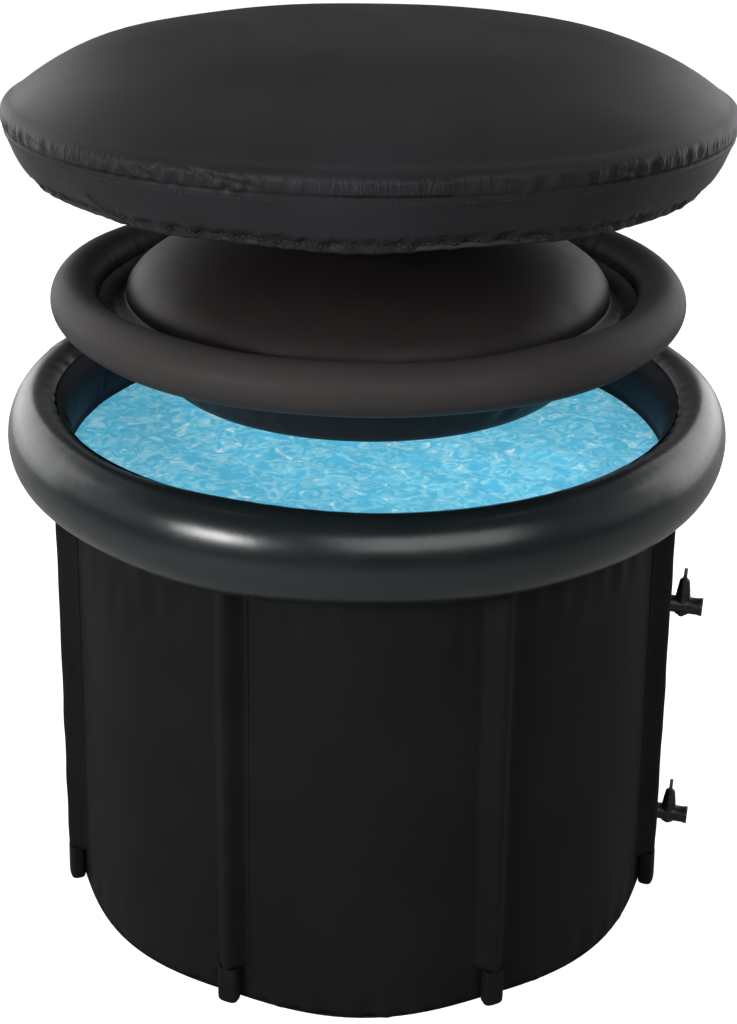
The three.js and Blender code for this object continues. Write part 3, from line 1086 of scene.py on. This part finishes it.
    def sleeves(self) -> None:
        """Sewn sleeves with a row of stitches down each edge."""
        arch = self.sleeve_arch()
        heights = np.linspace(POLES.sleeve_bottom, POLES.sleeve_top, self.SLEEVE_ROWS)[:, None]
        sides = np.linspace(-1.0, 1.0, self.SLEEVE_COLUMNS)
        middle = np.sin(np.linspace(0.0, math.pi, self.SLEEVE_COLUMNS))
        width = float(np.linalg.norm(np.diff(arch, axis=0), axis=1).sum())
        length = POLES.sleeve_top - POLES.sleeve_bottom
        stitches: list = []
        for number, angle in enumerate(POLES.angles(), 1):
            dice = np.random.default_rng(self.SLEEVE_SEED + number)
            loose = np.zeros((self.SLEEVE_ROWS, self.SLEEVE_COLUMNS))
            for _ in range(self.SLEEVE_WAVES):
                rate = dice.uniform(20, 90)
                lean = dice.uniform(-3, 3)
                loose += np.sin(rate * heights + lean * sides + dice.uniform(0, 6))
            bulk = (1.0 + self.SLEEVE_LOOSE * loose * middle).clip(self.SLEEVE_TIGHTEST)
            grid = self.staved(angle, arch[:, 0], arch[:, 1] * bulk, heights)[:, ::-1]
            cloth = grid_object(f"pole_sleeve_{number}_cloth", grid, (width, length), (False, False))
            made = thicken(cloth, POLES.sleeve_cloth)
            self.own(made, SHELL_CLOTH, "shell_cloth", [f"pole_sleeve_{number}"])
            outward = POLES.stitch_rise * np.array([math.sin(angle), -math.cos(angle), 0.0])
            stitches += [grid[:, column] + outward for column in self.SLEEVE_SEAMS]
        rows = STITCHES.along("sleeve_stitches", stitches, False, THREAD)
        self.own(rows, THREAD, "shell_cloth")

    def boots(self) -> None:
        """Rubber cups with rounded feet and a thick lip that grips the pole."""
        bottom = POLES.boot_bottom
        top = POLES.boot_top
        rings = [
            (0.0, bottom),
            (0.7, bottom),
            (0.9, bottom + 0.0008),
            (0.985, bottom + 0.0035),
            (1.0, bottom + 0.009),
            (0.97, POLES.boot_waist),
            (0.95, top - 0.006),
            (0.96, top - 0.002),
            (0.90, top),
            (0.84, top),
        ]
        turn = np.linspace(0.0, TURN, 40, endpoint=False)
        ways = (np.cos(turn), np.sin(turn))
        square_x, square_y = (np.sign(way) * np.abs(way) ** self.BOOT_SQUARE for way in ways)
        line = resampled(rings, 44)
        middle = POLES.boot_gap + POLES.boot_depth / 2.0
        grip = POLES.radius + POLES.boot_grip
        cup_x = line[:, 0:1] * POLES.boot_width / 2.0 * square_x
        cup_y = middle + line[:, 0:1] * POLES.boot_depth / 2.0 * square_y
        across = np.vstack([cup_x, grip * np.cos(turn)])
        out = np.vstack([cup_y, POLES.stand_off + grip * np.sin(turn)])
        up = np.append(line[:, 1], top - POLES.boot_lip)[:, None]
        for number, angle in enumerate(POLES.angles(), 1):
            grid = self.staved(angle, across, out, up)
            cup = grid_object(f"foot_boot_{number}_rubber", grid, self.BOOT_FLAT, (False, True))
            self.own(merge_doubles(cup), BOOT_RUBBER, "boot_rubber", [f"foot_boot_{number}"])

    def build(self) -> None:
        """Make every piece of the barrel."""
        self.wall()
        self.base()
        self.liner()
        self.collars()
        self.sleeves()
        self.boots()
        self.paint(WALL_FOAM, "wall_foam", "base_foam")
        self.paint(POLE_PLASTIC, *[f"pole_{i + 1}" for i in range(POLES.count)])


class AirRim(Assembly):
    """The inflated rim, with its crosswise weld and its stopper."""

    ROWS = 72
    COLUMNS = 720
    FOOT_WELD = (-100.0, 0.5)
    MOUTH_WELD = (128.0, 0.35)
    SWELL = Ripples(41, 3, 9, 0.72, slant=8.0)
    FOOT_PUCKERS = Ripples(43, 50, 110, 0.5)
    MOUTH_PUCKERS = Ripples(47, 60, 120, 0.25)

    def build(self) -> None:
        """Make the taut vinyl tube and its stopper."""
        line = whole_oval((RIM.radius, RIM.height), (RIM.across, RIM.up), self.ROWS)
        skin = Turned(line, self.COLUMNS, looped=True)
        skin.lift(self.SWELL.over(skin))
        skin.lift(weld_mask(self.ROWS, *self.FOOT_WELD) * self.FOOT_PUCKERS.over(skin))
        skin.lift(weld_mask(self.ROWS, *self.MOUTH_WELD) * self.MOUTH_PUCKERS.over(skin))
        across = np.abs(turn_gap(skin.angle, RIM.weld_angle)) * RIM.radius
        skin.lift(RIM.weld_rise * fade(across, RIM.weld_half + RIM.weld_edge, RIM.weld_half - RIM.weld_edge))
        made = skin.build("rim_tube")
        self.own(made, RIM_VINYL, "rim_film", ["air_rim"])
        self.stopper("rim", Body.RIM_STOPPER)


class Bath(Assembly):
    """The water that fills the tub."""

    RADIUS = 0.3985
    LEVEL = 0.6125
    SHORE = 0.02
    SWELL = 0.0007
    WAVES = 9
    SEED = 51

    def build(self) -> None:
        """Make the rippled water face, calm at its edge."""
        line = [(self.RADIUS * s, self.LEVEL) for s in np.linspace(1.0, 0.0, 90)]
        skin = Turned(line, 360)
        calm = fade(skin.radius[:, 0:1], self.RADIUS, self.RADIUS - self.SHORE)
        x = skin.radius * np.sin(skin.angle)
        y = -skin.radius * np.cos(skin.angle)
        dice = np.random.default_rng(self.SEED)
        swell = np.zeros_like(x)
        for _ in range(self.WAVES):
            heading = dice.uniform(0.0, TURN)
            rate = dice.uniform(40.0, 130.0)
            run = x * math.cos(heading) + y * math.sin(heading)
            swell += np.sin(rate * run + dice.uniform(0.0, TURN))
        skin.height = skin.height + self.SWELL * calm * swell
        self.own(skin.build("bath_water_face"), WATER, None)


class Lid(Assembly):
    """The floating lid: ring, pillow, web and stopper."""

    body = Body.LID
    COLUMNS = 480
    RING_ROWS = 60
    RING_COLUMNS = 600
    RING_WELD = (180.0, 0.7)
    DOME_FADE = (0.07, 0.0)
    PLUG_TOP_FADE = (0.0, -0.012)
    PLUG_FOOT_FADE = (-0.106, -0.07)
    RING_SWELL = Ripples(61, 3, 10, 0.8, slant=10.0)
    RING_PUCKERS = Ripples(63, 60, 120, 0.3)
    DOME_PUCKERS = Ripples(71, 12, 40, 0.2)
    PLUG_PUCKERS = Ripples(73, 20, 60, 0.8)
    WEB_PUCKERS = Ripples(75, 40, 90, 0.3)

    def ring(self) -> None:
        """The ring's taut tube, puckered at its inner weld."""
        line = whole_oval((LID.ring_radius, LID.height), (LID.ring_tube, LID.ring_tube), self.RING_ROWS)
        skin = Turned(line, self.RING_COLUMNS, looped=True)
        skin.lift(self.RING_SWELL.over(skin))
        skin.lift(weld_mask(self.RING_ROWS, *self.RING_WELD) * self.RING_PUCKERS.over(skin))
        made = skin.build("lid_ring_tube")
        # The ring wears the lid's vinyl painted paler, which is painted light on its front.
        self.own(made, RING_VINYL_PAINTED_LIGHT, "lid_film", ["lid_ring"])

    def pillow(self) -> None:
        """The pillow, domed above its weld and hanging as a plug below it."""
        foot = LID.height - LID.pillow_drop
        centre = (LID.pillow_foot, foot + LID.foot_round)
        line = [
            (0.0, foot),
            (LID.pillow_foot * 0.5, foot),
            *oval(centre, (LID.foot_round, LID.foot_round), -90.0, -12.0, 8),
            (LID.pillow_radius - 0.003, LID.height - 0.03),
            *oval((0.0, LID.height), (LID.pillow_radius, LID.pillow_crown), 0.0, 90.0, 60),
        ]
        skin = Turned(resampled(line, 130, 1), self.COLUMNS)
        skin.radius[0] = 0.0
        skin.radius[-1] = 0.0
        height = skin.height[:, 0:1] - LID.height
        top = (height > 0.0) * fade(height, *self.DOME_FADE)
        side = fade(height, *self.PLUG_FOOT_FADE) * fade(height, *self.PLUG_TOP_FADE)
        skin.lift(top * self.DOME_PUCKERS.over(skin))
        skin.lift(side * self.PLUG_PUCKERS.over(skin))
        made = skin.build("lid_pillow_skin")
        self.own(made, LID_VINYL, "lid_film", ["lid_pillow"])

    def web(self) -> None:
        """The slack strip that joins the pillow to the ring."""
        inner = LID.pillow_radius - LID.web_lap
        outer = LID.ring_radius - LID.ring_tube + LID.web_lap
        shares = np.linspace(0.0, 1.0, 15)
        slack = np.sin(math.pi * shares)
        line = np.stack([outer + (inner - outer) * shares, LID.height - LID.web_sag * slack], 1)
        skin = Turned(line, self.COLUMNS)
        skin.lift(slack[:, None] * self.WEB_PUCKERS.over(skin))
        made = thicken(skin.build("lid_web_film"), LID.web_film)
        self.own(made, LID_VINYL, "lid_film", ["lid_web"])

    def build(self) -> None:
        """Make the lid's pieces."""
        self.ring()
        self.pillow()
        self.web()
        self.stopper("lid", Body.LID_STOPPER)


class WeatherCover(Assembly):
    """The nylon cover, one cloth from its elastic hem to its crown."""

    body = Body.COVER
    COLUMNS = 720
    # Long creases over the gathers and one in the skirt, placed from the seam.
    CREASES = (
        Crease((-26.0, 0.022), (-13.0, 0.003), 1.6),
        Crease((-34.0, 0.016), (-27.0, 0.002), 1.2),
        Crease((14.0, 0.018), (22.0, 0.002), 1.2),
        Crease((31.0, 0.020), (39.0, 0.003), 1.3),
        Crease((-58.0, 0.018), (-48.0, 0.002), 1.3),
        Crease((-44.0, -0.030), (-39.0, -0.058), 5.0),
    )
    # Where the gathers bunch most: degrees round, and how far they spread.
    BUNCHES = ((26.0, 13.0), (-22.0, 10.0))
    # Metres past the seam or the hem, or out from the axis, where each dressing begins and is full.
    BAND_FADE = (-0.002, 0.002)
    BAND_END = (0.022, 0.008)
    HEM_FADE = (0.024, 0.001)
    CASING_FADE = (0.0, 0.006)
    SKIRT_FADE = (0.0, -0.02)
    CROWN_EDGE = (0.43, 0.33)
    CROWN_MIDDLE = (0.06, 0.3)
    PATCHES = Ripples(80, 3, 9, count=4)
    GATHERS = Ripples(81, 45, 95, 1.2, 5, 90.0, True)
    CRUMPLES = Ripples(83, 24, 70, 1.8, 5, 140.0, True)
    FACETS = Ripples(84, 40, 90, 1.0, 5, 200.0, True)
    SKIRT_SLACK = Ripples(85, 5, 14, 1.1, 5, 6.0)
    HEM_SWAY = Ripples(87, 3, 11, 1.0, 5)
    CROWN_WAVES = Ripples(89, 2, 6, 1.2, 5, 16.0)

    def section(self) -> tuple[np.ndarray, int, int]:
        """Line of the cloth from inside the hem's casing up to the crown.

        Returns:
            The line, the row where the skirt leaves the casing and the row of the seam.
        """
        casing = oval((COVER.hem_radius, COVER.hem_height), (COVER.casing, COVER.casing), 110.0, 345.0, 8)
        middle = (COVER.hem_radius + COVER.rim) / 2.0 + COVER.skirt_belly
        belly = (middle, (COVER.seam + COVER.hem_height) / 2.0)
        skirt = resampled([casing[-1], belly, (COVER.rim, COVER.seam)], 21, 1)[1:]
        shares = np.linspace(0.1, 1.0, 8)
        deep = COVER.shoulder - COVER.seam
        puffed = COVER.rim + COVER.band_swell * np.sin(math.pi * shares)
        band = list(zip(puffed, COVER.seam + deep * shares))
        rise = COVER.crown - COVER.shoulder
        shares = 0.97 * (1.0 - np.linspace(0.0, 1.0, 24) ** 1.3)
        top = [(COVER.rim * s, COVER.shoulder + rise * (1.0 - s**COVER.fullness)) for s in shares]
        bend = resampled([band[-1], (COVER.rim - 0.003, COVER.shoulder + 0.0055), top[0]], 8, 1)[1:-1]
        line = np.array([*casing, *skirt, *band, *bend, *top])
        line[-1, 0] = 0.0
        return line, len(casing) - 1, len(casing) + len(skirt) - 1

    def dressed(self, line: np.ndarray, hem_row: int, seam_row: int) -> Turned:
        """Turn the cloth's line, with its gathers, creases and drawn hem.

        Args:
            line: Section of the cloth.
            hem_row: Row where the skirt leaves the casing.
            seam_row: Row of the seam.

        Returns:
            The skin of the cover.
        """
        skin = Turned(line, self.COLUMNS)
        from_seam = skin.along - skin.along[seam_row]
        from_hem = skin.along - skin.along[hem_row]
        level = 0.0 * skin.along
        patch = 0.6 + 0.4 * self.PATCHES.shape(skin, level)
        for heading, spread in self.BUNCHES:
            patch = patch + 0.7 * bell(turn_gap(skin.angle, heading), math.radians(spread))
        band = fade(from_seam, *self.BAND_FADE) * fade(from_seam, *self.BAND_END)
        skin.lift(band * self.GATHERS.over(skin, from_seam) * patch.clip(0.3, 1.6))
        drawn = fade(from_hem, *self.HEM_FADE)
        calm = 0.2 + 0.8 * fade(from_hem, *self.CASING_FADE)
        skin.lift(calm * drawn * (self.CRUMPLES.over(skin, from_hem) + self.FACETS.over(skin, from_hem)))
        skin.radius = skin.radius - COVER.hem_draw * drawn
        skin.lift(fade(from_seam, *self.SKIRT_FADE) * self.SKIRT_SLACK.over(skin))
        skin.height = skin.height + drawn * (self.HEM_SWAY.over(skin, level) + COVER.hem_rise)
        skin.lift(-COVER.seam_depth * bell(from_seam, COVER.seam_half))
        reach = skin.radius[:, 0:1]
        crown = fade(reach, *self.CROWN_EDGE) * fade(reach, *self.CROWN_MIDDLE)
        skin.lift(crown * self.CROWN_WAVES.over(skin))
        skin.fold(self.CREASES, from_seam)
        return skin

    def build(self) -> None:
        """Make the cloth, its elastic and its stitching."""
        line, hem_row, seam_row = self.section()
        skin = self.dressed(line, hem_row, seam_row)
        cloth = thicken(skin.build("cover_cloth"), COVER.cloth)
        cord_line = whole_oval((COVER.hem_radius, COVER.hem_height), (COVER.cord, COVER.cord), 12)
        cord = Turned(cord_line, self.COLUMNS, looped=True)
        middle = hem_row // 2
        cord.radius = cord.radius + (skin.radius[middle] - line[middle, 0])
        cord.height = cord.height + (skin.height[middle] - line[middle, 1])
        elastic = self.own(cord.build("hem_elastic_cord"), HEM_ELASTIC, "elastic", ["cover_hem_elastic"])
        rows = [skin.ring(row, COVER.stitch_rise) for row in (seam_row - 2, hem_row + 2)]
        stitches = self.own(STITCHES.along("cover_stitches", rows, True, THREAD), THREAD, "cover_cloth")
        self.own(cloth, COVER_NYLON, "cover_cloth", ["cover_top", "cover_skirt"])


class Tap(Assembly):
    """A drain tap: barrel and lock nut on the tub, plug and fin handle on the cock."""

    def __init__(self, label: str, cock: Body) -> None:
        """Name the tap and the body that its cock rides."""
        self.label = label
        self.cock = cock

    def build(self) -> None:
        """Round the tap's edges and dress its pieces."""
        pieces = (
            ("barrel", 0.0007, Body.TUB),
            ("lock_nut", 0.0006, Body.TUB),
            ("plug", 0.0007, self.cock),
            ("handle", 0.0007, self.cock),
        )
        for part, bevel, rider in pieces:
            node = f"{self.label}_tap_{part}"
            self.own(self.softened(node, bevel), TAP_PLASTIC, "tap_plastic", [node], rider)
        self.paint(GASKET_RUBBER, f"{self.label}_tap_gasket", f"{self.label}_tap_washer")


@dataclass(frozen=True)
class SoftBox:
    """An area light aimed at a point."""

    name: str
    place: Triple
    aim: Triple
    size: Pair
    watts: float

    def build(self) -> None:
        """Add the light to the scene."""
        lamp = bpy.data.lights.new(self.name, "AREA")
        lamp.shape = "RECTANGLE"
        lamp.size, lamp.size_y = self.size
        lamp.energy = self.watts
        made = bpy.data.objects.new(self.name, lamp)
        bpy.context.scene.collection.objects.link(made)
        made.location = self.place
        made.rotation_euler = (Vector(self.aim) - Vector(self.place)).to_track_quat("-Z", "Y").to_euler()


class Studio:
    """Pale floor, soft lights, white surroundings and the photograph's camera."""

    CAMERA_PLACE = (0.0, -1.812, 1.385)
    CAMERA_PITCH = 26.0
    CAMERA_ROLL = 0.69
    CAMERA_YAW = -0.115
    LENS = 51.0
    SENSOR = 36.0
    WHITE = (1.0, 1.0, 1.0, 1.0)
    FLOOR_GREY = (0.45, 0.45, 0.45, 1.0)
    FLOOR_SIZE = 60.0
    FLOOR_LEVEL = -0.0005
    LIGHTS = (
        SoftBox("key_softbox", (-1.64, -1.92, 1.4), (-0.14, -0.44, 0.68), (0.85, 0.5), 43.0),
        SoftBox("front_softbox", (0.9, -2.6, 2.3), (0.0, 0.0, 0.95), (2.6, 1.6), 44.0),
        SoftBox("left_softbox", (-2.4, 1.6, 1.3), (0.0, 0.0, 0.7), (3.0, 2.4), 40.0),
        SoftBox("right_softbox", (2.4, 1.6, 1.3), (0.0, 0.0, 0.7), (3.0, 2.4), 40.0),
        SoftBox("top_softbox", (0.0, 0.6, 3.2), (0.0, 0.0, 1.0), (2.4, 1.6), 12.0),
    )

    def floor(self) -> None:
        """A plain pale floor."""
        bpy.ops.mesh.primitive_plane_add(size=self.FLOOR_SIZE, location=(0.0, 0.0, self.FLOOR_LEVEL))
        plane = bpy.context.object
        plane.name = "studio_floor"
        paint = bpy.data.materials.new("studio_floor_paint")
        paint.use_nodes = True
        tree = paint.node_tree
        shader = tree.nodes["Principled BSDF"]
        rays = add_node(tree, "ShaderNodeLightPath")
        shader.inputs["Base Color"].default_value = self.FLOOR_GREY
        shader.inputs["Roughness"].default_value = 0.9
        shader.inputs["Specular IOR Level"].default_value = 0.1
        shader.inputs["Emission Color"].default_value = self.WHITE
        tree.links.new(rays.outputs["Is Camera Ray"], shader.inputs["Emission Strength"])
        plane.data.materials.append(paint)

    def surroundings(self) -> None:
        """White to the camera; as light, bright behind to both sides and dim elsewhere."""
        world = bpy.data.worlds.new("studio_white")
        bpy.context.scene.world = world
        world.use_nodes = True
        tree = world.node_tree
        tree.nodes.clear()
        rays = add_node(tree, "ShaderNodeLightPath")
        heading = add_node(tree, "ShaderNodeTexCoord").outputs["Generated"]
        parts = add_node(tree, "ShaderNodeSeparateXYZ", {"Vector": heading}).outputs
        behind = ranged(tree, parts["Y"], (-0.5, 0.6), (0.1, 1.1))
        low = ranged(tree, parts["Z"], (0.3, 0.6), (1.0, 0.2))
        aside = ranged(tree, maths(tree, "ABSOLUTE", parts["X"]), (0.2, 0.65), (0.2, 1.1))
        light = maths(tree, "MULTIPLY", maths(tree, "MULTIPLY", behind, low), aside)
        strength = maths(tree, "MAXIMUM", light, rays.outputs["Is Camera Ray"])
        sky = add_node(tree, "ShaderNodeBackground", {"Color": self.WHITE, "Strength": strength})
        add_node(tree, "ShaderNodeOutputWorld", {"Surface": sky.outputs["Background"]})

    def camera(self) -> None:
        """The camera that the photograph was taken with."""
        data = bpy.data.cameras.new("photo_camera")
        data.sensor_fit = "VERTICAL"
        data.sensor_height = self.SENSOR
        data.lens = self.LENS
        made = bpy.data.objects.new("photo_camera", data)
        bpy.context.scene.collection.objects.link(made)
        yaw = Matrix.Rotation(math.radians(self.CAMERA_YAW), 4, "Z")
        pitch = Matrix.Rotation(math.radians(90.0 - self.CAMERA_PITCH), 4, "X")
        roll = Matrix.Rotation(math.radians(self.CAMERA_ROLL), 4, "Z")
        made.matrix_world = Matrix.Translation(self.CAMERA_PLACE) @ yaw @ pitch @ roll
        bpy.context.scene.camera = made

    def build(self) -> None:
        """Set the stage."""
        self.floor()
        self.surroundings()
        self.camera()
        for light in self.LIGHTS:
            light.build()
        bpy.context.scene.view_settings.view_transform = "Standard"


def main() -> None:
    """Build the studio and every assembly."""
    logging.basicConfig(level=logging.INFO)
    Studio().build()
    assemblies = (
        Barrel(),
        AirRim(),
        Bath(),
        Lid(),
        WeatherCover(),
        Tap("upper", Body.UPPER_COCK),
        Tap("lower", Body.LOWER_COCK),
    )
    for assembly in assemblies:
        LOG.info("building %s", type(assembly).__name__)
        assembly.build()


if __name__ == "__main__":
    main()
